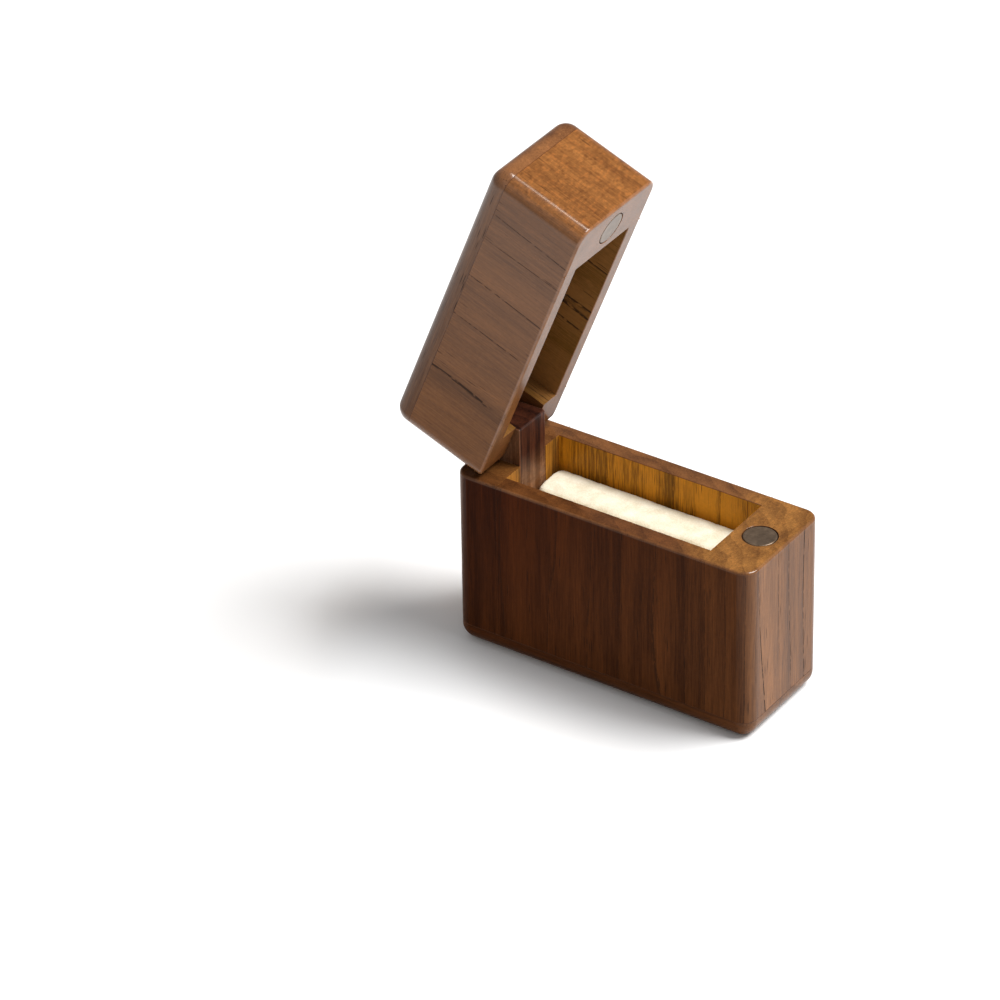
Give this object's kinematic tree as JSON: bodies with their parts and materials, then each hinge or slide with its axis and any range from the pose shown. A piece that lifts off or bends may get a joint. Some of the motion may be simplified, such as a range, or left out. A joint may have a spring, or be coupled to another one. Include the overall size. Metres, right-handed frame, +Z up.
{
  "type": "ring box",
  "caption": "Slim wooden ring box with rounded edges, a lid hinged at one narrow end on a wooden tongue, a magnet catch and a slit cushion.",
  "frame": {"origin": "centre of the underside of the base, on the surface that the box stands on", "axes": "+X from the hinge end to the free end with the magnet, +Y from the front face to the back face, +Z up"},
  "size_m": [0.0603, 0.0194, 0.0802],
  "materials": {
    "wood_panel": "satin lacquer, grain up the box",
    "wood_end": "satin lacquer, mottled end-of-board grain",
    "wood_plate": "satin lacquer, grain along the box",
    "wood_hinge": "satin lacquer",
    "magnet_metal": "nickel plated, satin",
    "pin_brass": "plain drawn wire",
    "cushion_suede": "cream suede cloth",
    "cushion_card": "plain card"
  },
  "bodies": {
    "base": {"base_bottom_plate": "wood_plate", "base_front_panel": "wood_panel", "base_back_panel": "wood_panel", "base_magnet_block": "wood_end", "base_hinge_block_front": "wood_end", "base_hinge_block_back": "wood_end", "hinge_tongue": "wood_hinge", "base_magnet": "magnet_metal", "cushion_board": "cushion_card", "cushion_front_half": "cushion_suede", "cushion_back_half": "cushion_suede"},
    "lid": {"lid_top_plate": "wood_plate", "lid_front_panel": "wood_panel", "lid_back_panel": "wood_panel", "lid_magnet_block": "wood_end", "lid_hinge_cheek_front": "wood_end", "lid_hinge_cheek_back": "wood_end", "lid_hinge_bridge": "wood_end", "lid_magnet": "magnet_metal", "hinge_pin": "pin_brass"}
  },
  "joints": [
    {"name": "lid_hinge", "type": "hinge", "parent": "base", "child": "lid", "pos_m": [-0.0225, 0, 0.0318], "axis": [0, -1, 0], "range_deg": [-68.5, 31.5]}
  ]
}
